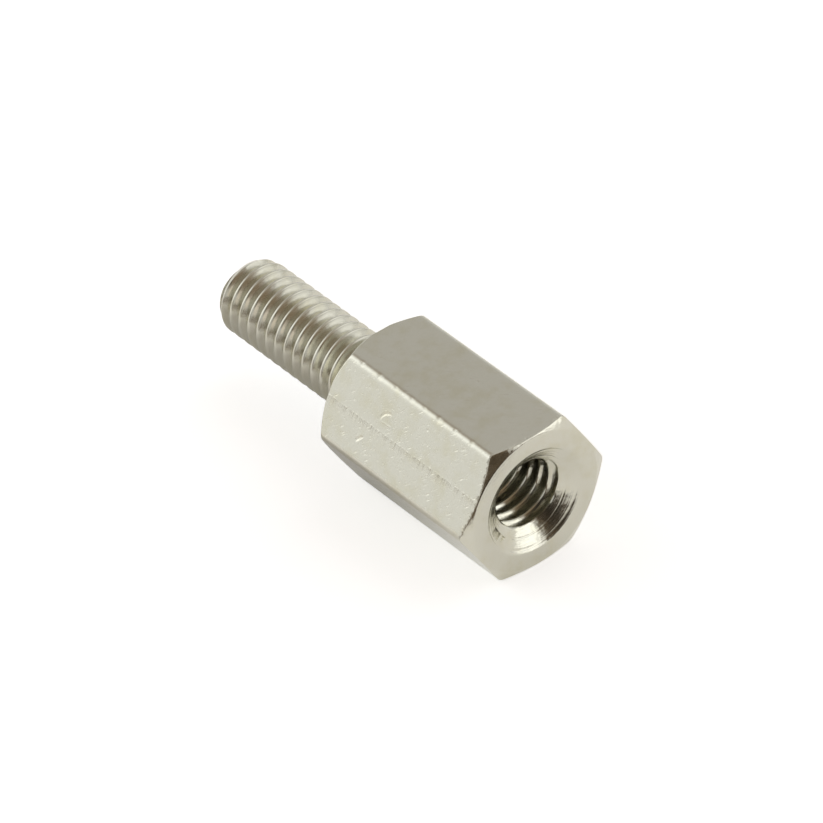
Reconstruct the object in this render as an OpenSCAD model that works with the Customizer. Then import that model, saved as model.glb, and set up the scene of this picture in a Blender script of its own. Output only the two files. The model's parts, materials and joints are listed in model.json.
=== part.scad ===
// Male-female hex standoff, turned in one piece from drawn hex bar.
// One end carries a threaded stud, the other a blind tapped hole with a wide countersink.
// It lies on one of its flats: the axis runs along X, the stud points to -X and the hole
// opens to +X. The origin is on the axis, in the plane of the shoulder that the stud
// stands on. Lengths are in millimetres and angles in degrees.

/* [Hex body] */
// Distance across the flats of the bar
across_flats = 5.5; // [5:0.1:7]
// Length of the hex body, from the shoulder to the tapped face
body_length = 8; // [8:0.5:30]
// Radius along the six long edges of the drawn bar
edge_radius = 0.3; // [0.1:0.05:0.5]

/* [Turned ends] */
// Diameter of the flat that the chamfer leaves on the tapped face
tapped_face_diameter = 5.41; // [4.6:0.01:5.45]
// Slope of the tapped end's chamfer, measured from the face
tapped_chamfer_angle = 25; // [15:1:45]
// Diameter of the circle at which the shoulder's chamfer starts
shoulder_diameter = 5.56; // [4.6:0.01:5.6]
// Slope of the shoulder's chamfer, measured from the face
shoulder_chamfer_angle = 42; // [15:1:45]

/* [Stud] */
// Outside diameter over the thread crests of the stud
stud_diameter = 2.92; // [2.8:0.02:3]
// Length of the stud, from the shoulder to its tip
stud_length = 7.7; // [3:0.1:12]
// Diameter of the flat end of the stud
tip_diameter = 2.5; // [2:0.05:2.7]
// Slope of the chamfer at the tip, measured from the axis
tip_chamfer_angle = 30; // [20:1:60]

/* [Tapped hole] */
// Diameter of the drilled hole, the inside diameter of its thread
hole_diameter = 2.5; // [2.4:0.05:2.6]
// Depth from the tapped face to the end of the full hole diameter
hole_depth = 6; // [3:0.1:6]
// Angle of the drill's point at the bottom of the hole
drill_point_angle = 118; // [90:1:140]
// Diameter of the countersink at the tapped face
countersink_diameter = 4; // [3:0.1:4.4]
// Full angle of the countersink
countersink_angle = 120; // [82:1:130]

/* [Hidden] */
SMOOTH = 96;      // facets round a turned surface in the preview
OVERSHOOT = 1;    // how far a cutting shape runs past what it cuts
EDGE_CROSSING = 0.001; // how far an edge circle reaches past the flats, to cross them cleanly

corner_radius = across_flats / sqrt(3);       // from the axis to a sharp corner of the hex
flat_width = (across_flats - 2 * edge_radius) / sqrt(3); // between the roundings beside it
edge_centre = flat_width;                     // from the axis to the centre of a rounding
tapped_face_r = tapped_face_diameter / 2;
shoulder_r = shoulder_diameter / 2;
stud_r = stud_diameter / 2;
tip_r = tip_diameter / 2;
tip_chamfer_length = (stud_r - tip_r) / tan(tip_chamfer_angle);
hole_r = hole_diameter / 2;
drill_point_depth = hole_r / tan(drill_point_angle / 2);
countersink_r = countersink_diameter / 2;
countersink_depth = (countersink_r - hole_r) / tan(countersink_angle / 2);

// Section of the drawn bar: a hexagon with two flats level and its six corners rounded.
// The crossed slabs reach past the flats and stop short of the corners, where the edge
// circles take over; the sharp hexagon then trims both to the flats.
module hex_section() {
    intersection() {
        circle(r = corner_radius, $fn = 6);
        union() {
            for (turn = [0:60:120])
                rotate(turn)
                    square([flat_width, 2 * corner_radius], center = true);
            for (turn = [0:60:300])
                rotate(turn)
                    translate([edge_centre, 0])
                        circle(r = edge_radius + EDGE_CROSSING, $fn = SMOOTH);
        }
    }
}

// Turns a profile of [radius, distance along X] points about the X axis.
module turned(profile) {
    rotate([0, 90, 0])
        rotate_extrude($fn = SMOOTH)
            polygon(profile);
}

// Envelope of the two turned ends: the bar is faced and chamfered down to this.
module turned_envelope() {
    past_corner = corner_radius + OVERSHOOT;
    turned([
        [0, 0],
        [shoulder_r, 0],
        [past_corner, (past_corner - shoulder_r) * tan(shoulder_chamfer_angle)],
        [past_corner, body_length - (past_corner - tapped_face_r) * tan(tapped_chamfer_angle)],
        [tapped_face_r, body_length],
        [0, body_length]
    ]);
}

module hex_body() {
    intersection() {
        rotate([90, 0, 90])
            linear_extrude(height = body_length)
                hex_section();
        turned_envelope();
    }
}

// The stud starts inside the body, so that the two are one solid.
module stud() {
    turned([
        [0, -stud_length],
        [tip_r, -stud_length],
        [stud_r, tip_chamfer_length - stud_length],
        [stud_r, OVERSHOOT],
        [0, OVERSHOOT]
    ]);
}

// What the drill and the countersink take out of the tapped end.
module tapped_hole() {
    flare = OVERSHOOT * tan(countersink_angle / 2);
    turned([
        [0, body_length - hole_depth - drill_point_depth],
        [hole_r, body_length - hole_depth],
        [hole_r, body_length - countersink_depth],
        [countersink_r + flare, body_length + OVERSHOOT],
        [0, body_length + OVERSHOOT]
    ]);
}

module standoff() {
    color([0.74, 0.72, 0.67])
        difference() {
            union() {
                hex_body();
                stud();
            }
            tapped_hole();
        }
}

standoff();
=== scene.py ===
"""A nickel-plated hex standoff with cut threads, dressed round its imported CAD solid, on a pale floor."""

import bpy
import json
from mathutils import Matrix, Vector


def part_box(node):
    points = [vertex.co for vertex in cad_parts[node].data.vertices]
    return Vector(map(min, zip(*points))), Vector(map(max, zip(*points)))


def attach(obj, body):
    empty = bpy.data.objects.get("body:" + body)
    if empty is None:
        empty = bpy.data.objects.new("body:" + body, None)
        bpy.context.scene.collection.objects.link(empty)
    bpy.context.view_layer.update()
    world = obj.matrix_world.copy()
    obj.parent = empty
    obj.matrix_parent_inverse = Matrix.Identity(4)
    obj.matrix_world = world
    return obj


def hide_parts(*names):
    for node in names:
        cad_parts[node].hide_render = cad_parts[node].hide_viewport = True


bl_info = {
    "name": "Hex Standoff",
    "version": (1, 0, 0),
    "blender": (4, 5, 0),
    "location": "3D View > Sidebar > Standoff",
    "description": "Builds a nickel-plated hex standoff with cut threads, and a small studio round it",
    "category": "Add Mesh",
}

import json
import math

import bmesh
import bpy
from mathutils import Quaternion, Vector

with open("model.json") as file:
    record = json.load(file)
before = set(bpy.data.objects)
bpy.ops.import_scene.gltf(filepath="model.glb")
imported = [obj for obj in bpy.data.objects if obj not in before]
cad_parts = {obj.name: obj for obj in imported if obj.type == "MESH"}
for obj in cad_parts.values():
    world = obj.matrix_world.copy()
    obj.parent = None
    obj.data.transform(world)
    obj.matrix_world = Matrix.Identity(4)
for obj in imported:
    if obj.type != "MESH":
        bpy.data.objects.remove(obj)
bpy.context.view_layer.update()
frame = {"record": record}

MM = 0.001
MOUNTS = {mount["name"]: mount for mount in frame["record"]["mounts"]}
NODE_LOW, NODE_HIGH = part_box("standoff")

SHOULDER_X = MOUNTS["stud"]["pos_m"][0]
FACE_X = MOUNTS["tapped_face"]["pos_m"][0]
TIP_X = NODE_LOW[0]
FLOOR_Z = NODE_LOW[2]
HALF_FLATS = NODE_HIGH[2]
STUD_R = MOUNTS["stud"]["dims"]["r_mm"] * MM
STUD_WALL = MOUNTS["stud"]["dims"]["length_mm"] * MM
HOLE_R = MOUNTS["tapped_hole"]["dims"]["r_mm"] * MM
HOLE_WALL = MOUNTS["tapped_hole"]["dims"]["length_mm"] * MM

CORNERS = 6
COLUMNS = 144           # points round the axis; a multiple of the corners
COLUMN_CROWDING = 0.7   # how far the columns gather towards the corners, 0 for even spacing
STATIONS = 16           # points along each pitch of a thread
STATION_CROWDING = 0.7  # how far the stations gather towards the crests and roots
WELD = 1e-7             # in metres, under a thousandth of the finest detail
ROWS = 110              # rows of faces along the flats
CURVE_STEPS = 4         # faces across each softened edge
EDGE_BREAKS = (0.02, 0.04, 0.015, 0.02, 0.06)  # how far each edge is softened in mm, from the stud's foot on
STUD_RUN_OUT = 0.15 * MM
HOLE_RUN_OUT = 1.0 * MM
CAP_STEPS = 4           # rings of faces that close the stud's end and the hole's bottom
SHARP_EDGE = math.radians(50)

FIRST_FLAT = 30         # the angle that the first flat faces, in degrees from +Y towards +Z
FLAT_TURN = 360 / CORNERS
TOP_FLAT = 90
WORN_FLAT = 150
FLAT_STEP = 4.0         # how far apart the six flats lie on the unrolled map, in mm
WORN_FLAT_PLACE = FLAT_STEP * (WORN_FLAT - FIRST_FLAT) / FLAT_TURN
DIE_LINE_ACROSS = 0.067  # where the die's line runs, in mm from the worn flat's middle

# Marks of handling, in mm along the bar from the shoulder and across a flat from its middle, counted
# anticlockwise as the tapped end shows them. A flat is named by the angle that it faces, and 90 is up.
# Each dent is: flat, along, across, length, width, tilt in degrees, bend per mm, depth.
# A negative depth stands out, as a burr.
DENTS = (
    (WORN_FLAT, 2.00, 0.74, 0.40, 0.13, -48, 0.0, 0.030),
    (WORN_FLAT, 2.74, -0.57, 0.64, 0.14, -40, 1.2, 0.014),
    (WORN_FLAT, 3.03, -0.27, 0.80, 0.08, -3, 0.0, -0.006),
    (WORN_FLAT, 6.80, 1.00, 0.30, 0.08, 62, 0.0, 0.010),
    (WORN_FLAT, 6.58, -1.20, 0.30, 0.07, -35, 0.0, 0.012),
    (WORN_FLAT, 4.78, -1.01, 0.10, 0.10, 0, 0.0, 0.020),
    (TOP_FLAT, 4.47, -0.62, 0.12, 0.09, 20, 0.0, 0.012),
    (TOP_FLAT, 1.20, 0.97, 0.12, 0.08, 30, 0.0, 0.010),
)
# Each groove that the tool left in the countersink and at its rim is: radius, half its width, depth.
GROOVES = ((1.59, 0.045, 0.004), (1.94, 0.070, 0.006), (2.12, 0.050, 0.003))
# Each stroke or pit that covers the flats thinly is: tilt in degrees, length, width, rarity, depth.
STRUCK_MARKS = (
    (-42, 0.42, 0.10, 0.80, 0.005),
    (-50, 0.22, 0.07, 0.55, 0.0022),
    (-10, 0.14, 0.11, 0.80, 0.004),
)
# Each nick is: angle round the bar in degrees, along, reach, depth.
NICKS = (
    (120, 0.95, 0.10, 0.020), (120, 1.90, 0.16, 0.014), (120, 2.75, 0.07, 0.022), (120, 3.60, 0.12, 0.012),
    (120, 4.30, 0.06, 0.020), (120, 5.05, 0.14, 0.016), (120, 5.90, 0.08, 0.024), (120, 6.80, 0.12, 0.014),
    (176, 7.80, 0.07, 0.030), (172, 7.84, 0.08, -0.025), (160, 7.95, 0.10, -0.022), (134, 7.93, 0.08, -0.020),
    (72, 7.84, 0.10, 0.040), (103, 7.93, 0.12, 0.018), (64, 7.84, 0.10, 0.020),
)

# The stage
FLOOR_REACH = 3.0       # half the floor's width, in metres
FLOOR_SEEN = 0.52       # how much the floor's even light adds to what the camera sees, where 1 is white
FLOOR_MIRRORED = 0.36   # and to what a reflection sees
SHADE_PLACE = (-4 * MM, -2 * MM, 0)  # the middle of the painted shade round the part, which reflections see on the floor
SHADE_START, SHADE_END = 5 * MM, 13 * MM  # the painted shade thins out from one of these distances to the other
DARK_REFLECTION_HEADING = math.radians(-48)  # the painted dark reflection on the floor lies this way from the part
DARK_REFLECTION_START, DARK_REFLECTION_END = 11.5 * MM, 14.5 * MM  # it fades in between these distances
AHEAD_START, AHEAD_END = 5 * MM, 10 * MM  # and only where the floor lies this far along X
DARK_REFLECTION_LEVEL = 0.17       # how bright the painted dark reflection on the floor is, in the room's colour
WORLD_LEVEL = 0.7

# Each card is: name, azimuth, elevation, half width, half height, roll, brightness, warmth, softness. A card
# covers those half angles as the part sees it. Each one stands a little nearer than the one before it.
CARDS = (
    ("dark_overhead", 186, 83, 42, 37, 28, 0.42, 0.5, 0.2),
    ("left_softbox", 210, 26, 21, 24, 0, 1.58, -0.08, 1.0),
    ("right_softbox", 38, 9, 18, 15, 0, 1.8, 0, 0.4),
    ("back_softbox", 92, 46, 24, 21, 21, 1.3, 0, 1.0),
    ("left_bounce", 248, 28, 10, 30, -26, 1.05, 0, 1.0),
    ("front_flag", 354, 38, 26, 20, -12, 0.27, 1.0, 0.43),
    ("back_wall", 158, 36, 32, 13, -10, 0.6, 0.10, 0.8),
    ("low_window", 211, 14, 11, 11, -20, 1.7, 0, 0.33),
    ("right_gap", 2.5, 9, 12.5, 15.5, 0, 0.27, 1, 0.15),
    ("low_gap", 2.5, 2, 12.5, 10, 0, 0.07, 1, 0.2),
    ("side_fill", 55, 25, 14, 12, 18, 0.85, 0, 0.8),
    ("front_bounce", -20.5, 10, 7.5, 8.5, 0, 1.1, 0.4, 0.4),
    ("upper_flag", -45, 40, 11, 12, 0, 0.1, 1, 0.3),
    ("side_gap", -81, 9, 14, 7, 0, 0.2, 1, 0.4),
)
CARD_DISTANCE = 1.2
CARD_STEP = 0.05
# A small dark card close in front of the hole, which only reflections see: a painted dark reflection that
# neither lights nor shades anything
HOLE_FLAG = ("hole_flag", -3.2, -0.5, 9.5, 7.0, 0, 0.02, 1, 0.7)
HOLE_FLAG_DISTANCE = 12.8 * MM

CAMERA_TARGET = Vector((1.404, -0.020, 0)) * MM
CAMERA_AZIMUTH = math.radians(53.924)
CAMERA_ELEVATION = math.radians(39.156)
CAMERA_ROLL = math.radians(-4.820)
CAMERA_DISTANCE = 258.80 * MM
CAMERA_LENS = 330.9026  # in mm, on a sensor 36 mm wide
CAMERA_SENSOR = 36.0
CAMERA_CLIP = 0.01


# ---------------------------------------------------------------- sizes and colours


class StandoffSizes(bpy.types.PropertyGroup):
    pitch: bpy.props.FloatProperty(
        name="Pitch", description="Distance from one thread crest to the next",
        default=0.5 * MM, unit="LENGTH")
    stud_crest: bpy.props.FloatProperty(
        name="Stud Crest", description="Share of the pitch that a crest of the stud takes",
        default=0.16, subtype="FACTOR")
    stud_root: bpy.props.FloatProperty(
        name="Stud Root", description="Share of the pitch that a root of the stud takes",
        default=0.04, subtype="FACTOR")
    hole_crest: bpy.props.FloatProperty(
        name="Hole Crest", description="Share of the pitch that a crest in the hole takes",
        default=0.12, subtype="FACTOR")
    hole_root: bpy.props.FloatProperty(
        name="Hole Root", description="Share of the pitch that a root in the hole takes",
        default=0.05, subtype="FACTOR")
    stud_depth: bpy.props.FloatProperty(
        name="Stud Thread Depth", description="Height of the stud's crests above its roots",
        default=0.28 * MM, unit="LENGTH")
    hole_depth: bpy.props.FloatProperty(
        name="Hole Thread Depth", description="Height of the hole's crests above its roots",
        default=0.33 * MM, unit="LENGTH")
    thread_softness: bpy.props.FloatProperty(
        name="Thread Softness", description="Rounding of crests and roots, as a share of a flank",
        default=0.06, subtype="FACTOR")
    stud_phase: bpy.props.FloatProperty(
        name="Stud Phase", description="Distance from the shoulder to a crest of the stud, on the +Y side",
        default=-0.09 * MM, unit="LENGTH")
    hole_phase: bpy.props.FloatProperty(
        name="Hole Phase", description="Distance from the shoulder to a crest in the hole, on the +Y side",
        default=0.16 * MM, unit="LENGTH")
    edge_radius: bpy.props.FloatProperty(
        name="Edge Radius", description="Radius along the long edges of the bar",
        default=0.3 * MM, unit="LENGTH")
    shoulder_r: bpy.props.FloatProperty(
        name="Shoulder Radius", description="Radius at which the shoulder's chamfer starts",
        default=2.78 * MM, unit="LENGTH")
    shoulder_slope: bpy.props.FloatProperty(
        name="Shoulder Chamfer", description="Slope of the shoulder's chamfer from its face",
        default=math.radians(42), subtype="ANGLE")
    face_r: bpy.props.FloatProperty(
        name="Tapped Face Radius", description="Radius at which the tapped end's chamfer starts",
        default=2.705 * MM, unit="LENGTH")
    face_slope: bpy.props.FloatProperty(
        name="Tapped End Chamfer", description="Slope of the tapped end's chamfer from its face",
        default=math.radians(25), subtype="ANGLE")
    tip_r: bpy.props.FloatProperty(
        name="Tip Radius", description="Radius of the stud's flat end", default=1.25 * MM, unit="LENGTH")
    rim_r: bpy.props.FloatProperty(
        name="Countersink Radius", description="Radius of the countersink's rim",
        default=2.08 * MM, unit="LENGTH")
    countersink: bpy.props.FloatProperty(
        name="Countersink Angle", description="Full angle of the countersink",
        default=math.radians(120), subtype="ANGLE")
    drill_point: bpy.props.FloatProperty(
        name="Drill Point", description="Full angle of the drilled hole's bottom",
        default=math.radians(118), subtype="ANGLE")


def heading_vector(azimuth, elevation):
    """The unit vector that points this way, in radians, from +X towards +Y and up."""
    level = math.cos(elevation)
    return Vector((level * math.cos(azimuth), level * math.sin(azimuth), math.sin(elevation)))


def hex_colour(text):
    """An sRGB hex value as the linear colour that a shader takes."""
    levels = [int(text[i:i + 2], 16) / 255 for i in (0, 2, 4)]
    return tuple(v / 12.92 if v <= 0.04045 else ((v + 0.055) / 1.055) ** 2.4 for v in levels) + (1.0,)


class StandoffColours(bpy.types.PropertyGroup):
    nickel: bpy.props.FloatVectorProperty(
        name="Nickel", description="Colour of the plating", size=4, subtype="COLOR",
        default=hex_colour("D0CEC0"), min=0, max=1)
    stain: bpy.props.FloatVectorProperty(
        name="Stain", description="Colour of the plating where it has yellowed", size=4, subtype="COLOR",
        default=hex_colour("BEB792"), min=0, max=1)
    # The room's tint also colours the painted dark reflection on the floor.
    room: bpy.props.FloatVectorProperty(
        name="Room", description="Tint of the dim brown room that shows between the lamps", size=4,
        subtype="COLOR", default=hex_colour("FFE1BF"), min=0, max=1)
    floor: bpy.props.FloatVectorProperty(
        name="Floor", description="Colour of the studio floor", size=4, subtype="COLOR",
        default=hex_colour("F3F3F3"), min=0, max=1)


# ---------------------------------------------------------------- node helpers


def add_node(tree, kind, links=None, **settings):
    """Adds a node, sets its properties, and fills its inputs from sockets or plain values."""
    node = tree.nodes.new(kind)
    for name, value in settings.items():
        setattr(node, name, value)
    for key, value in (links or {}).items():
        socket = node.inputs[key]
        if isinstance(value, bpy.types.NodeSocket):
            tree.links.new(value, socket)
        else:
            socket.default_value = value
    return node


def math_node(tree, operation, *values, clamp=False):
    """The result of one step of arithmetic."""
    node = add_node(tree, "ShaderNodeMath", dict(enumerate(values)), operation=operation, use_clamp=clamp)
    return node.outputs[0]


# ---------------------------------------------------------------- threads, in geometry nodes

THREAD_INPUTS = ("Low End", "High End", "Pitch", "Phase", "Crest Radius", "Root Radius", "Crest Share",
                 "Root Share", "Softness", "Run Out", "Cone Radius", "Cone Slope", "Cone Place")


def thread_tree():
    """A screw thread round the X axis: a grid whose rows follow the helix, trimmed to two flat ends.

    The run-out is a length from the end away from the cone, over which the thread fades to its crest radius.
    The cone trims the thread to the larger of the two radii inside a hole, and to the smaller on a stud.
    """
    tree = bpy.data.node_groups.new("Screw Thread", "GeometryNodeTree")
    sockets = tree.interface
    for name in THREAD_INPUTS:
        sockets.new_socket(name, in_out="INPUT", socket_type="NodeSocketFloat")
    sockets.new_socket("Rows", in_out="INPUT", socket_type="NodeSocketInt")
    sockets.new_socket("Inside", in_out="INPUT", socket_type="NodeSocketBool")
    sockets.new_socket("Material", in_out="INPUT", socket_type="NodeSocketMaterial")
    sockets.new_socket("Geometry", in_out="OUTPUT", socket_type="NodeSocketGeometry")
    given = add_node(tree, "NodeGroupInput").outputs

    def calc(operation, *values, clamp=False):
        return math_node(tree, operation, *values, clamp=clamp)

    rows_across = calc("SUBTRACT", given["Rows"], 1)
    grid = add_node(tree, "GeometryNodeMeshGrid", {
        "Size X": rows_across, "Size Y": float(COLUMNS), "Vertices X": given["Rows"],
        "Vertices Y": COLUMNS + 1})
    position = add_node(tree, "GeometryNodeInputPosition").outputs[0]
    place = add_node(tree, "ShaderNodeSeparateXYZ", {0: position}).outputs
    row = calc("ADD", place["X"], calc("MULTIPLY", rows_across, 0.5))
    column = calc("ADD", place["Y"], COLUMNS / 2)

    even = calc("MULTIPLY", column, math.tau / COLUMNS)
    crowd = calc("MULTIPLY", calc("SINE", calc("MULTIPLY", even, CORNERS)), COLUMN_CROWDING / CORNERS)
    angle = calc("SUBTRACT", even, crowd)
    turn = calc("DIVIDE", angle, math.tau)

    # The rows start one pitch before the low end, on the row of stations that holds the crests.
    low_pitches = calc("DIVIDE", calc("SUBTRACT", given["Low End"], given["Phase"]), given["Pitch"])
    first = calc("SUBTRACT", calc("FLOOR", low_pitches), 1.0)
    two_waves = 2 * math.tau  # the stations gather twice in each pitch, at its crest and at its root
    gather = calc("MULTIPLY", calc("SINE", calc("MULTIPLY", row, two_waves / STATIONS)),
                  STATION_CROWDING / two_waves)
    steps = calc("SUBTRACT", calc("DIVIDE", row, STATIONS), gather)
    pitches = calc("ADD", calc("ADD", first, steps), turn)
    free_x = calc("MULTIPLY_ADD", pitches, given["Pitch"], given["Phase"])
    x = calc("MINIMUM", calc("MAXIMUM", free_x, given["Low End"]), given["High End"])

    # 0 at a crest and 0.5 half-way between two crests
    wound = calc("SUBTRACT", calc("DIVIDE", calc("SUBTRACT", x, given["Phase"]), given["Pitch"]), turn)
    from_crest = calc("ABSOLUTE", calc("SUBTRACT", wound, calc("ROUND", wound)))
    crest_edge = calc("MULTIPLY", given["Crest Share"], 0.5)
    root_edge = calc("SUBTRACT", 0.5, calc("MULTIPLY", given["Root Share"], 0.5))
    flank = calc("DIVIDE", calc("SUBTRACT", from_crest, crest_edge), calc("SUBTRACT", root_edge, crest_edge))
    depth = calc("SMOOTH_MIN", calc("SMOOTH_MAX", flank, 0.0, given["Softness"]), 1.0, given["Softness"])
    from_low = calc("DIVIDE", calc("SUBTRACT", x, given["Low End"]), given["Run Out"], clamp=True)
    from_high = calc("DIVIDE", calc("SUBTRACT", given["High End"], x), given["Run Out"], clamp=True)
    fade = add_node(tree, "GeometryNodeSwitch", {
        "Switch": given["Inside"], "False": from_high, "True": from_low}, input_type="FLOAT").outputs[0]
    drop = calc("MULTIPLY", calc("SUBTRACT", given["Root Radius"], given["Crest Radius"]),
                calc("MULTIPLY", depth, fade))
    thread_r = calc("ADD", given["Crest Radius"], drop)
    cone_r = calc("MULTIPLY_ADD", calc("SUBTRACT", x, given["Cone Place"]), given["Cone Slope"],
                  given["Cone Radius"])
    radius = add_node(tree, "GeometryNodeSwitch", {
        "Switch": given["Inside"], "False": calc("MINIMUM", thread_r, cone_r),
        "True": calc("MAXIMUM", thread_r, cone_r)}, input_type="FLOAT").outputs[0]

    spot = add_node(tree, "ShaderNodeCombineXYZ", {
        "X": x, "Y": calc("MULTIPLY", radius, calc("COSINE", angle)),
        "Z": calc("MULTIPLY", radius, calc("SINE", angle))})
    moved = add_node(tree, "GeometryNodeSetPosition", {
        "Geometry": grid.outputs["Mesh"], "Position": spot.outputs[0]})
    welded = add_node(tree, "GeometryNodeMergeByDistance", {"Geometry": moved.outputs[0], "Distance": WELD})
    real = add_node(tree, "GeometryNodeRealizeInstances", {"Geometry": welded.outputs[0]})
    painted = add_node(tree, "GeometryNodeSetMaterial", {
        "Geometry": real.outputs[0], "Material": given["Material"]})
    add_node(tree, "NodeGroupOutput", {"Geometry": painted.outputs[0]})
    return tree


def modified_mesh(mesh, kind, prepare):
    """The mesh that a modifier of this kind makes of this one, which it takes the place of."""
    carrier = bpy.data.objects.new(mesh.name, mesh)
    bpy.context.collection.objects.link(carrier)
    modifier = carrier.modifiers.new(kind.title(), kind)
    prepare(modifier)
    ready = carrier.evaluated_get(bpy.context.evaluated_depsgraph_get())
    result = bpy.data.meshes.new_from_object(ready)
    carrier.modifiers.remove(modifier)
    bpy.data.objects.remove(carrier)
    bpy.data.meshes.remove(mesh)
    return result


def thread_mesh(tree, name, **inputs):
    """Runs the thread tree with these inputs and returns its result as a plain mesh."""
    span = inputs["High End"] - inputs["Low End"]
    inputs["Rows"] = STATIONS * (math.ceil(span / inputs["Pitch"]) + 2) + 1

    def prepare(modifier):
        modifier.node_group = tree
        items = [item for item in tree.interface.items_tree if item.in_out == "INPUT"]
        sockets = {item.name: item.identifier for item in items}
        for key, value in inputs.items():
            modifier[sockets[key]] = value

    return modified_mesh(bpy.data.meshes.new(name), "NODES", prepare)


# ---------------------------------------------------------------- the turned hex body


def column_angles():
    """Angles of the columns round the axis, from +Y towards +Z, gathered at the six corners."""
    evens = [math.tau * j / COLUMNS for j in range(COLUMNS)]
    return [even - COLUMN_CROWDING / CORNERS * math.sin(CORNERS * even) for even in evens]


def section_radius(angle, sizes):
    """Distance from the axis to the drawn bar's surface, at an angle round it."""
    step = math.tau / CORNERS
    off_corner = abs((angle + step / 2) % step - step / 2)
    centre = (HALF_FLATS - sizes.edge_radius) / math.cos(step / 2)
    tangent = math.atan2(sizes.edge_radius * math.sin(step / 2),
                         centre + sizes.edge_radius * math.cos(step / 2))
    if off_corner < tangent:
        reach = math.sqrt(sizes.edge_radius ** 2 - (centre * math.sin(off_corner)) ** 2)
        return centre * math.cos(off_corner) + reach
    return HALF_FLATS / math.cos(step / 2 - off_corner)


def softened(corners):
    """A polyline of (x, radius) corners with each inner corner replaced by a small curve.

    A curve starts EDGE_BREAKS along its corner's two sides, or just short of half of a shorter side.
    """
    most = 0.45
    points = [corners[0]]
    for before, corner, after, reach in zip(corners, corners[1:], corners[2:], EDGE_BREAKS):
        to_before, to_after = before - corner, after - corner
        start = corner + to_before.normalized() * min(reach * MM, to_before.length * most)
        end = corner + to_after.normalized() * min(reach * MM, to_after.length * most)
        for k in range(CURVE_STEPS + 1):
            t = k / CURVE_STEPS
            points.append(start * (1 - t) ** 2 + corner * 2 * t * (1 - t) + end * t ** 2)
    points.append(corners[-1])
    return points


def divided(start, end, count):
    """The points that cut the stretch from start to end into count parts, without its two ends."""
    return [start.lerp(end, k / count) for k in range(1, count)]


def end_ring(bm, x):
    """The open edge's vertices in the plane at x, in order of their angle round the axis."""
    ring = {v for e in bm.edges if e.is_boundary for v in e.verts if abs(v.co.x - x) < WELD}
    return sorted(ring, key=lambda v: math.atan2(v.co.z, v.co.y) % math.tau)


def span_rings(bm, rings):
    """Joins each ring of vertices to the next with four-sided faces."""
    for ring, following in zip(rings, rings[1:]):
        for j in range(len(ring)):
            k = (j + 1) % len(ring)
            bm.faces.new((ring[j], ring[k], following[k], following[j]))


def cap_rings(bm, ring, centre):
    """Closes a ring onto a point on the axis, by way of smaller rings."""
    rings = [ring]
    for s in range(1, CAP_STEPS):
        rings.append([bm.verts.new(v.co.lerp(centre, s / CAP_STEPS)) for v in ring])
    span_rings(bm, rings)
    point = bm.verts.new(centre)
    last = rings[-1]
    for j in range(len(last)):
        bm.faces.new((last[j], last[(j + 1) % len(last)], point))


def nick_depth(along, angle, bar):
    """How far the nicks set the surface in, at a place along the bar and an angle round it."""
    depth = 0.0
    for nick_angle, place, reach, deep in NICKS:
        turn = (angle - math.radians(nick_angle) + math.pi) % math.tau - math.pi
        off = math.hypot(along - place * MM, turn * bar) / (reach * MM)
        depth += deep * MM * max(0.0, 1 - off * off) ** 2
    return depth


def body_rings(bm, shoulder_ring, mouth_ring, sizes):
    """The hex body between the stud's last ring and the countersink's inner ring."""
    columns = []
    mouth_x = mouth_ring[0].co.x
    # The flat's stretch of a softened line lies between its second curve and its third
    flat_low = 2 * (CURVE_STEPS + 1)
    flat_high = flat_low + 1
    nicked_r = sizes.face_r - 0.05 * MM  # no nick reaches in past here
    for angle, root, mouth in zip(column_angles(), shoulder_ring, mouth_ring):
        bar = section_radius(angle, sizes)
        shoulder_edge = min(bar, sizes.shoulder_r)
        flat_start = SHOULDER_X + (bar - shoulder_edge) * math.tan(sizes.shoulder_slope)
        flat_end = FACE_X - (bar - sizes.face_r) * math.tan(sizes.face_slope)
        corners = [Vector(pair) for pair in (
            (SHOULDER_X, math.hypot(root.co.y, root.co.z)),
            (SHOULDER_X, shoulder_edge),
            (flat_start, bar),
            (flat_end, bar),
            (FACE_X, sizes.face_r),
            (FACE_X, sizes.rim_r),
            (mouth_x, math.hypot(mouth.co.y, mouth.co.z)),
        )]
        line = softened(corners)
        line = line[:flat_low + 1] + divided(line[flat_low], line[flat_high], ROWS) + line[flat_high:]
        for point in line:
            if point.y > nicked_r:
                point.y -= nick_depth(point.x, angle, bar)
        columns.append([(x, r * math.cos(angle), r * math.sin(angle)) for x, r in line])
    rings = [[bm.verts.new(column[s]) for column in columns] for s in range(1, len(columns[0]) - 1)]
    span_rings(bm, [shoulder_ring] + rings + [mouth_ring])


def flat_axes(angle):
    """Directions out of a flat and across it, for the angle that the flat faces."""
    turn = math.radians(angle)
    return Vector((0, math.cos(turn), math.sin(turn))), Vector((0, -math.sin(turn), math.cos(turn)))


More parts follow.
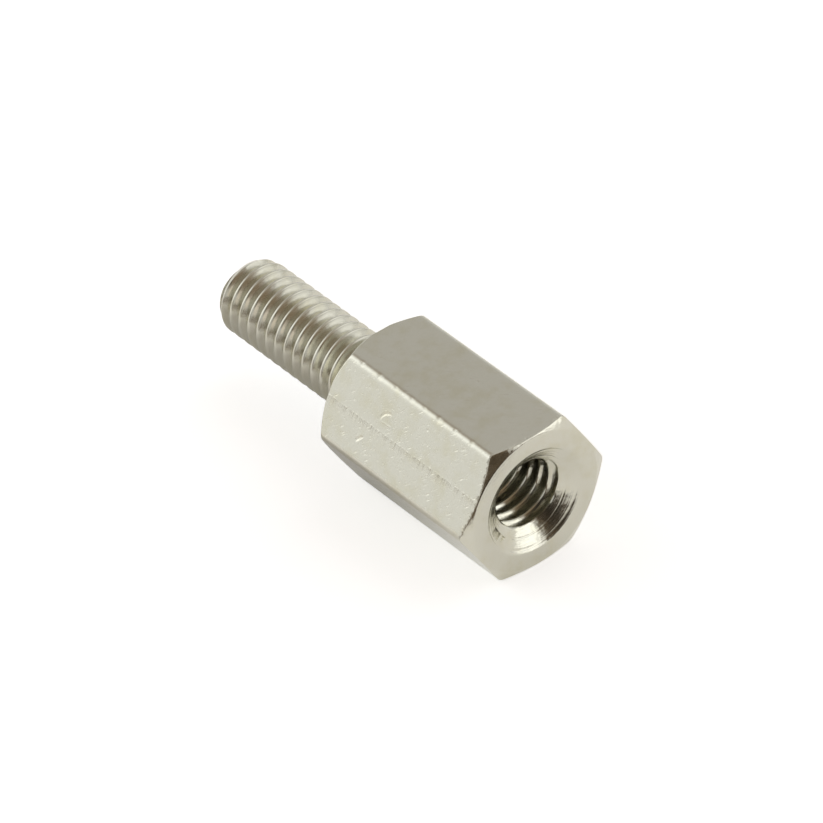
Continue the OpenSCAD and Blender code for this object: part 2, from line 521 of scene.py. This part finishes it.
def press_dent(bm, flat, along, across, length, width, tilt, bend, depth):
    """Divides the flat finely round a dent and presses it in, with a low lip thrown up beside it.

    The top flat's dents have no lip, so that nothing stands above the flat that sets the part's height.
    """
    outward, over = flat_axes(flat)
    middle = Vector((along * MM, 0, 0)) + over * (across * MM) + outward * HALF_FLATS
    reach = (0.6 * length + width) * MM
    skin = 0.02 * MM  # how far from the flat's plane its own faces may lie
    finest = 0.045 * MM
    lip_height = 0.0 if flat == TOP_FLAT else 0.25
    for _ in range(3):
        offs = [(f, f.calc_center_median() - middle) for f in bm.faces]
        near = [f for f, off in offs if off.length < reach and abs(off.dot(outward)) < skin]
        long_edges = {e for f in near for e in f.edges if e.calc_length() > finest}
        bmesh.ops.subdivide_edges(bm, edges=list(long_edges), cuts=1, use_grid_fill=True)
    lean = math.radians(tilt)
    for v in bm.verts:
        off = v.co - middle
        if off.length > reach or abs(off.dot(outward)) > skin:
            continue
        p = (off.x * math.cos(lean) + off.dot(over) * math.sin(lean)) / MM
        q = (off.dot(over) * math.cos(lean) - off.x * math.sin(lean)) / MM - bend * p * p
        fade = max(0.0, 1 - (2 * p / length) ** 4)
        side = abs(2 * q / width)
        bowl = max(0.0, 1 - side * side) ** 2
        lip = lip_height * math.exp(-12 * (side - 1.25) ** 2)  # highest a little outside the dent's edge
        v.co -= outward * (depth * MM * fade * (bowl - lip))


def evened_normals(mesh):
    """The same mesh with its normals led by the larger faces, so flats stay flat beside small roundings."""
    def prepare(modifier):
        modifier.keep_sharp = True
        modifier.weight = 70

    return modified_mesh(mesh, "WEIGHTED_NORMAL", prepare)


def map_finish(mesh, mouth_x):
    """Notes on each face corner how that face was made, and lays the six flats out side by side.

    The finish is a colour: red for the drawn flats, green for the turned faces and blue for the threads.
    The flats are laid out in millimetres, along the bar and across it.
    """
    along_bar = 0.25    # a drawn face's normal has less of the axis in it than this,
    end_facing = 0.84   # and a turned face on an end has more than this
    drawn, turned, cut = (1, 0, 0, 1), (0, 1, 0, 1), (0, 0, 1, 1)
    mesh.uv_layers.new(name="unrolled")
    mesh.color_attributes.new("finish", "FLOAT_COLOR", "CORNER")
    places = [0.0] * (2 * len(mesh.loops))
    colours = [0.0] * (4 * len(mesh.loops))
    for face in mesh.polygons:
        centre = face.center
        radius = math.hypot(centre.y, centre.z)
        index = round((math.degrees(math.atan2(centre.z, centre.y)) % 360 - FIRST_FLAT) / FLAT_TURN)
        over = flat_axes(FIRST_FLAT + FLAT_TURN * index)[1]
        if abs(face.normal.x) < along_bar and radius > HALF_FLATS - 0.1 * MM:
            colour = drawn
        elif radius < STUD_R + WELD and abs(face.normal.x) < end_facing and centre.x < mouth_x:
            colour = cut
        else:
            colour = turned
        for corner in face.loop_indices:
            place = mesh.vertices[mesh.loops[corner].vertex_index].co
            places[2 * corner:2 * corner + 2] = place.x / MM, place.dot(over) / MM + FLAT_STEP * index
            colours[4 * corner:4 * corner + 4] = colour
    mesh.uv_layers["unrolled"].data.foreach_set("uv", places)
    mesh.color_attributes["finish"].data.foreach_set("color", colours)


def standoff_mesh(sizes, material):
    """The whole standoff as one closed mesh, in this material."""
    tree = thread_tree()
    cone_tan = math.tan(sizes.countersink / 2)
    root_in_hole = HOLE_R + sizes.hole_depth
    mouth_x = FACE_X - (sizes.rim_r - root_in_hole) / cone_tan
    bottom_x = FACE_X - (sizes.rim_r - HOLE_R) / cone_tan - HOLE_WALL
    common = {"Pitch": sizes.pitch, "Softness": sizes.thread_softness, "Material": material}
    stud = thread_mesh(tree, "stud_thread", **common, **{
        "Low End": TIP_X, "High End": SHOULDER_X, "Phase": SHOULDER_X + sizes.stud_phase,
        "Crest Radius": STUD_R, "Root Radius": STUD_R - sizes.stud_depth, "Run Out": STUD_RUN_OUT,
        "Crest Share": sizes.stud_crest, "Root Share": sizes.stud_root,
        "Cone Radius": sizes.tip_r, "Cone Place": TIP_X,
        "Cone Slope": (STUD_R - sizes.tip_r) / (SHOULDER_X - STUD_WALL - TIP_X), "Inside": False})
    hole = thread_mesh(tree, "hole_thread", **common, **{
        "Low End": bottom_x, "High End": mouth_x, "Phase": SHOULDER_X + sizes.hole_phase,
        "Crest Radius": HOLE_R, "Root Radius": root_in_hole, "Run Out": HOLE_RUN_OUT,
        "Crest Share": sizes.hole_crest, "Root Share": sizes.hole_root,
        "Cone Radius": sizes.rim_r, "Cone Place": FACE_X, "Cone Slope": cone_tan, "Inside": True})

    bm = bmesh.new()
    bm.from_mesh(stud)
    bm.from_mesh(hole)
    bpy.data.meshes.remove(stud)
    bpy.data.meshes.remove(hole)
    bmesh.ops.dissolve_degenerate(bm, dist=WELD, edges=bm.edges)
    tip, shoulder = end_ring(bm, TIP_X), end_ring(bm, SHOULDER_X)
    bottom, mouth = end_ring(bm, bottom_x), end_ring(bm, mouth_x)
    body_rings(bm, shoulder, mouth, sizes)
    cap_rings(bm, tip, Vector((TIP_X, 0, 0)))
    cap_rings(bm, bottom, Vector((bottom_x - HOLE_R / math.tan(sizes.drill_point / 2), 0, 0)))
    bmesh.ops.remove_doubles(bm, verts=bm.verts, dist=WELD)
    bmesh.ops.recalc_face_normals(bm, faces=bm.faces)
    for dent in DENTS:
        press_dent(bm, *dent)
    for face in bm.faces:
        face.smooth = True
    mesh = bpy.data.meshes.new("hex_standoff")
    bm.to_mesh(mesh)
    bm.free()
    mesh.materials.append(material)
    mesh.set_sharp_from_angle(angle=SHARP_EDGE)
    mesh = evened_normals(mesh)
    map_finish(mesh, mouth_x)
    return mesh


# ---------------------------------------------------------------- materials


def axis_distance(tree, place):
    """How far a place in mm is from the part's axis."""
    parts = add_node(tree, "ShaderNodeSeparateXYZ", {0: place}).outputs
    across = math_node(tree, "MULTIPLY", parts["Y"], parts["Y"])
    return math_node(tree, "SQRT", math_node(tree, "MULTIPLY_ADD", parts["Z"], parts["Z"], across))


def ramp(tree, value, low, high, start=0.0, end=1.0, smooth=False):
    """A value that goes from start to end while the given one goes from low to high, and then stays."""
    kind = "SMOOTHSTEP" if smooth else "LINEAR"
    return add_node(tree, "ShaderNodeMapRange", {
        "Value": value, "From Min": low, "From Max": high, "To Min": start, "To Max": end},
        interpolation_type=kind).outputs["Result"]


def noise(tree, place, scale, detail, roughness=0.5):
    """Cloudy noise about 0.5, with this many clouds to a millimetre."""
    return add_node(tree, "ShaderNodeTexNoise", {
        "Vector": place, "Scale": scale, "Detail": detail, "Roughness": roughness}).outputs[0]


def noise_along(tree, distance, scale, detail, roughness=0.5):
    """The same along one distance in mm."""
    return add_node(tree, "ShaderNodeTexNoise", {
        "W": distance, "Scale": scale, "Detail": detail, "Roughness": roughness},
        noise_dimensions="1D").outputs[0]


def struck_marks(tree, place):
    """Height in mm of the small slanting strokes and pits that loose handling leaves on the flats."""
    height = 0.0
    for lean, long, short, rare, deep in STRUCK_MARKS:
        turned = add_node(tree, "ShaderNodeMapping", {
            "Vector": place, "Rotation": (0, 0, math.radians(lean)), "Scale": (long, short, 1)},
            vector_type="TEXTURE")
        cells = add_node(tree, "ShaderNodeTexVoronoi", {"Vector": turned.outputs[0], "Scale": 1.0},
                         voronoi_dimensions="2D").outputs
        chosen = add_node(tree, "ShaderNodeSeparateColor", {0: cells["Color"]}).outputs[0]
        strength = ramp(tree, chosen, rare, 1.0)
        bowl = ramp(tree, cells["Distance"], 0.42, 0.0, smooth=True)
        depth = math_node(tree, "MULTIPLY", math_node(tree, "MULTIPLY", strength, bowl), deep)
        height = math_node(tree, "SUBTRACT", height, depth)
    return height


def die_line(tree, place):
    """Height in mm of the broken ledge that a die scored along the worn flat: steep above, fading below."""
    ledge_height = 0.009
    parts = add_node(tree, "ShaderNodeSeparateXYZ", {0: place}).outputs
    below = math_node(tree, "SUBTRACT", parts["Y"], WORN_FLAT_PLACE + DIE_LINE_ACROSS)
    step = ramp(tree, below, -0.03, 0.03, smooth=True)
    fade = ramp(tree, below, 0.4, 0.0)
    kept = ramp(tree, noise_along(tree, parts["X"], 5.0, 5.0, 0.7), 0.46, 0.68)
    ledge = math_node(tree, "MULTIPLY", step, fade)
    return math_node(tree, "MULTIPLY", ledge, math_node(tree, "MULTIPLY", kept, ledge_height))


def worn_border(tree, place, sizes):
    """Height in mm of a flat's ragged, worn border, where the tapped end's chamfer meets it."""
    steepness = -0.3
    slope = math.tan(sizes.face_slope)
    along = add_node(tree, "ShaderNodeSeparateXYZ", {0: place}).outputs["X"]
    border = math_node(tree, "MULTIPLY_ADD", axis_distance(tree, place), -slope,
                       (FACE_X + sizes.face_r * slope) / MM)
    inward = math_node(tree, "SUBTRACT", border, along)
    width = ramp(tree, noise(tree, place, 10.0, 4.0, 0.7), 0.42, 0.64, 0.005, 0.16)
    past = math_node(tree, "MAXIMUM", math_node(tree, "SUBTRACT", width, inward), 0.0)
    drop = math_node(tree, "MULTIPLY", math_node(tree, "MULTIPLY", past, past), steepness)
    return math_node(tree, "DIVIDE", drop, width)


def turning_lines(tree, place):
    """Height in mm of the fine rings that the lathe tool leaves on the end faces and the countersink."""
    radius = axis_distance(tree, place)
    height = math_node(tree, "MULTIPLY", noise_along(tree, radius, 20.0, 3.0), 0.003)
    for middle, half_width, depth in GROOVES:
        off = math_node(tree, "ABSOLUTE", math_node(tree, "SUBTRACT", radius, middle))
        groove = ramp(tree, off, half_width, 0.0, smooth=True)
        height = math_node(tree, "MULTIPLY_ADD", groove, -depth, height)
    return height


def nickel_plating(colours, sizes):
    """Bright nickel plating over brass: a warm silver mirror, blurred a little by the brass's own surface.

    Thin plating follows every mark of the brass, so the marks shine. It yellows unevenly where it is held.
    """
    material = bpy.data.materials.new("bright nickel plating")
    material.use_nodes = True
    tree = material.node_tree
    tree.nodes.clear()
    metres = add_node(tree, "ShaderNodeTexCoord").outputs["Object"]
    place = add_node(tree, "ShaderNodeVectorMath", {0: metres, "Scale": 1 / MM}, operation="SCALE").outputs[0]
    unrolled = add_node(tree, "ShaderNodeUVMap", uv_map="unrolled").outputs["UV"]
    noted = add_node(tree, "ShaderNodeAttribute", attribute_name="finish").outputs["Color"]
    finish = add_node(tree, "ShaderNodeSeparateColor", {0: noted}).outputs
    drawn, turned, cut = finish[0], finish[1], finish[2]

    # Stains about half a millimetre across, which show as faint yellow patches
    stain = ramp(tree, noise(tree, place, 1.3, 6.0, 0.62), 0.42, 0.72, smooth=True)
    colour = add_node(tree, "ShaderNodeMix", {
        "Factor": math_node(tree, "MULTIPLY", stain, 0.28), "A": colours.nickel, "B": colours.stain},
        data_type="RGBA")

    # A fine grain blurs the mirror unevenly. Drawn and turned faces are smoother than the cut threads.
    grain = noise(tree, place, 9.0, 4.0, 0.6)
    smoothest = 0.08
    blur = math_node(tree, "MULTIPLY_ADD", cut, 0.12, smoothest)
    blur = math_node(tree, "MULTIPLY_ADD", turned, 0.03, blur)
    blur = math_node(tree, "MULTIPLY_ADD", drawn, 0.05, blur)
    roughness = math_node(tree, "MULTIPLY_ADD", grain, 0.08, blur)

    # A flat has marks, a worn border, a slow waviness and the grain. The worn flat's marks are twice as deep.
    waves = noise(tree, place, 4.0, 1.0)
    on_flat = add_node(tree, "ShaderNodeSeparateXYZ", {0: unrolled}).outputs["Y"]
    most_worn = math_node(tree, "COMPARE", on_flat, WORN_FLAT_PLACE, FLAT_STEP / 2)
    wear = math_node(tree, "MULTIPLY_ADD", most_worn, 0.55, 0.45)
    flat_height = math_node(tree, "MULTIPLY", struck_marks(tree, unrolled), wear)
    flat_height = math_node(tree, "ADD", flat_height, die_line(tree, unrolled))
    flat_height = math_node(tree, "ADD", flat_height, worn_border(tree, place, sizes))
    flat_height = math_node(tree, "MULTIPLY_ADD", waves, 0.003, flat_height)
    flat_height = math_node(tree, "MULTIPLY_ADD", grain, 0.0015, flat_height)
    turned_height = math_node(tree, "MULTIPLY_ADD", waves, 0.008, turning_lines(tree, place))
    cut_height = math_node(tree, "MULTIPLY", waves, 0.006)
    height = math_node(tree, "MULTIPLY", drawn, flat_height)
    height = math_node(tree, "MULTIPLY_ADD", turned, turned_height, height)
    height = math_node(tree, "MULTIPLY_ADD", cut, cut_height, height)
    bump = add_node(tree, "ShaderNodeBump", {"Height": height, "Distance": MM, "Strength": 1.0})

    # The lathe's rings spread a reflection outwards from the axis and keep it sharp along them
    round_axis = add_node(tree, "ShaderNodeTangent", direction_type="RADIAL", axis="X")
    shader = add_node(tree, "ShaderNodeBsdfPrincipled", {
        "Base Color": colour.outputs["Result"], "Metallic": 1.0, "Roughness": roughness,
        "Anisotropic": math_node(tree, "MULTIPLY", turned, 0.6), "Anisotropic Rotation": 0.25,
        "Tangent": round_axis.outputs[0], "Normal": bump.outputs[0]})
    add_node(tree, "ShaderNodeOutputMaterial", {"Surface": shader.outputs[0]})
    return material


def glow(name, level, softness, tint):
    """A card that gives off an even light and fades out towards its edges. Only the stage uses it."""
    material = bpy.data.materials.new(name)
    material.use_nodes = True
    tree = material.node_tree
    tree.nodes.clear()
    card_map = add_node(tree, "ShaderNodeUVMap", uv_map="card").outputs["UV"]
    across = add_node(tree, "ShaderNodeSeparateXYZ", {0: card_map}).outputs
    fades = [ramp(tree, math_node(tree, "ABSOLUTE", across[axis]), 1 + softness, 1 - softness, smooth=True)
             for axis in "XY"]
    light = add_node(tree, "ShaderNodeEmission", {"Color": tint, "Strength": level})
    clear = add_node(tree, "ShaderNodeBsdfTransparent")
    mix = add_node(tree, "ShaderNodeMixShader", {
        0: math_node(tree, "MULTIPLY", *fades), 1: clear.outputs[0], 2: light.outputs[0]})
    add_node(tree, "ShaderNodeOutputMaterial", {"Surface": mix.outputs[0]})
    return material


def white_paper(colours):
    """Matt white paper, lit evenly from behind as on a light table: it reads white and keeps a soft shadow.

    The even light shows to the camera and in reflections only, and puts no more light on the object.
    In reflections only, a painted shade takes the even light off the paper next to the part, and a painted
    dark reflection turns the paper a little way in front of the part into the dim room's colour.
    """
    material = bpy.data.materials.new("matt white paper")
    material.use_nodes = True
    tree = material.node_tree
    tree.nodes.clear()
    path = add_node(tree, "ShaderNodeLightPath").outputs
    place = add_node(tree, "ShaderNodeTexCoord").outputs["Object"]
    paper = add_node(tree, "ShaderNodeBsdfDiffuse", {"Color": colours.floor})

    # Painted shade: in reflections the even light fades out near the part, by the distance from one point
    # beside it
    off = add_node(tree, "ShaderNodeVectorMath", {0: place, 1: SHADE_PLACE}, operation="DISTANCE")
    clear = ramp(tree, off.outputs["Value"], SHADE_START, SHADE_END, smooth=True)
    reflected = math_node(tree, "MAXIMUM", path["Is Glossy Ray"], path["Is Transmission Ray"])
    mirrored = math_node(tree, "MULTIPLY", math_node(tree, "MULTIPLY", clear, reflected), FLOOR_MIRRORED)
    level = math_node(tree, "MULTIPLY_ADD", path["Is Camera Ray"], FLOOR_SEEN, mirrored)
    even = add_node(tree, "ShaderNodeEmission", {"Color": (1, 1, 1, 1), "Strength": level})
    sheet = add_node(tree, "ShaderNodeAddShader", {0: paper.outputs[0], 1: even.outputs[0]})

    # Painted dark reflection: in reflections only, the paper ahead of the part and past a slanting line shows
    # the room's colour, while the camera still sees white paper there
    heading = (math.cos(DARK_REFLECTION_HEADING), math.sin(DARK_REFLECTION_HEADING), 0)
    outwards = add_node(tree, "ShaderNodeVectorMath", {0: place, 1: heading}, operation="DOT_PRODUCT")
    beyond = ramp(tree, outwards.outputs["Value"], DARK_REFLECTION_START, DARK_REFLECTION_END, smooth=True)
    along = add_node(tree, "ShaderNodeSeparateXYZ", {0: place}).outputs["X"]
    ahead = ramp(tree, along, AHEAD_START, AHEAD_END, smooth=True)
    dark_reflection_mask = math_node(tree, "MULTIPLY", math_node(tree, "MULTIPLY", beyond, ahead), path["Is Glossy Ray"])
    painted_dark_reflection = add_node(tree, "ShaderNodeEmission", {"Color": colours.room, "Strength": DARK_REFLECTION_LEVEL})
    seen = add_node(tree, "ShaderNodeMixShader", {0: dark_reflection_mask, 1: sheet.outputs[0], 2: painted_dark_reflection.outputs[0]})
    add_node(tree, "ShaderNodeOutputMaterial", {"Surface": seen.outputs[0]})
    return material


# ---------------------------------------------------------------- operators


class STANDOFF_OT_piece(bpy.types.Operator):
    """Add the standoff, with its cut threads, in place of the plain solid"""
    bl_idname = "standoff.piece"
    bl_label = "Add Standoff"

    def execute(self, context):
        sizes = context.scene.standoff_sizes
        plating = nickel_plating(context.scene.standoff_colours, sizes)
        piece = bpy.data.objects.new("hex_standoff", standoff_mesh(sizes, plating))
        context.collection.objects.link(piece)
        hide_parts("standoff")
        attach(piece, "root")
        return {"FINISHED"}


def card(context, distance, name, azimuth, elevation, half_width, half_height, roll, level, warmth, softness):
    """A soft-edged stage card that faces the origin, unseen by the camera. All its angles are in degrees."""
    out = heading_vector(math.radians(azimuth), math.radians(elevation))
    level_side = Vector((0, 0, 1)).cross(out).normalized()
    turn = Quaternion(out, math.radians(roll))
    side = turn @ level_side * (distance * math.tan(math.radians(half_width)))
    up = turn @ out.cross(level_side) * (distance * math.tan(math.radians(half_height)))
    reach = 1 + softness
    corners = [(-reach, -reach), (reach, -reach), (reach, reach), (-reach, reach)]
    mesh = bpy.data.meshes.new(name)
    mesh.from_pydata([out * distance + side * a + up * b for a, b in corners], [], [(0, 1, 2, 3)])
    uv = mesh.uv_layers.new(name="card")
    for loop, corner in zip(uv.data, corners):
        loop.uv = corner
    tint = [1 + warmth * (part - 1) for part in context.scene.standoff_colours.room]
    mesh.materials.append(glow(name, level, softness, tint))
    thing = bpy.data.objects.new(name, mesh)
    context.collection.objects.link(thing)
    thing.visible_camera = False
    return thing


def paper_floor(context):
    """The floor, a wide sheet under the part."""
    mesh = bpy.data.meshes.new("floor")
    corners = [(-1, -1), (1, -1), (1, 1), (-1, 1)]
    mesh.from_pydata([(x * FLOOR_REACH, y * FLOOR_REACH, FLOOR_Z) for x, y in corners], [], [(0, 1, 2, 3)])
    mesh.materials.append(white_paper(context.scene.standoff_colours))
    floor = bpy.data.objects.new("floor", mesh)
    context.collection.objects.link(floor)


def studio_camera(context):
    """The camera, with a long lens, aimed near the middle of the part."""
    data = bpy.data.cameras.new("camera")
    data.sensor_width = CAMERA_SENSOR
    data.lens = CAMERA_LENS
    data.clip_start = CAMERA_CLIP
    camera = bpy.data.objects.new("camera", data)
    context.collection.objects.link(camera)
    # The azimuth is counted from -Y towards the tapped end
    back = heading_vector(CAMERA_AZIMUTH - math.pi / 2, CAMERA_ELEVATION)
    camera.location = CAMERA_TARGET + back * CAMERA_DISTANCE
    camera.rotation_mode = "QUATERNION"
    camera.rotation_quaternion = Quaternion(back, CAMERA_ROLL) @ (-back).to_track_quat("-Z", "Y")
    context.scene.camera = camera


class STANDOFF_OT_stage(bpy.types.Operator):
    """Add the floor, the cards, the world and the camera"""
    bl_idname = "standoff.stage"
    bl_label = "Add Stage"

    def execute(self, context):
        scene = context.scene
        paper_floor(context)
        world = bpy.data.worlds.new("studio")
        world.use_nodes = True
        background = world.node_tree.nodes["Background"].inputs
        background["Color"].default_value = (1, 1, 1, 1)
        background["Strength"].default_value = WORLD_LEVEL
        scene.world = world
        for nearness, settings in enumerate(CARDS):
            card(context, CARD_DISTANCE - CARD_STEP * nearness, *settings)
        flag = card(context, HOLE_FLAG_DISTANCE, *HOLE_FLAG)
        flag.visible_diffuse = flag.visible_shadow = flag.visible_transmission = False
        studio_camera(context)
        scene.view_settings.view_transform = "Standard"
        return {"FINISHED"}


class STANDOFF_PT_panel(bpy.types.Panel):
    """Lists the standoff's two steps"""
    bl_idname = "STANDOFF_PT_panel"
    bl_label = "Hex Standoff"
    bl_space_type = "VIEW_3D"
    bl_region_type = "UI"
    bl_category = "Standoff"

    def draw(self, context):
        column = self.layout.column()
        column.operator("standoff.piece")
        column.operator("standoff.stage")


CLASSES = (StandoffSizes, StandoffColours, STANDOFF_OT_piece, STANDOFF_OT_stage, STANDOFF_PT_panel)


def register():
    for cls in CLASSES:
        bpy.utils.register_class(cls)
    bpy.types.Scene.standoff_sizes = bpy.props.PointerProperty(type=StandoffSizes)
    bpy.types.Scene.standoff_colours = bpy.props.PointerProperty(type=StandoffColours)


def unregister():
    del bpy.types.Scene.standoff_colours
    del bpy.types.Scene.standoff_sizes
    for cls in reversed(CLASSES):
        bpy.utils.unregister_class(cls)


def main():
    register()
    bpy.ops.standoff.piece()
    bpy.ops.standoff.stage()


if __name__ == "__main__":
    main()
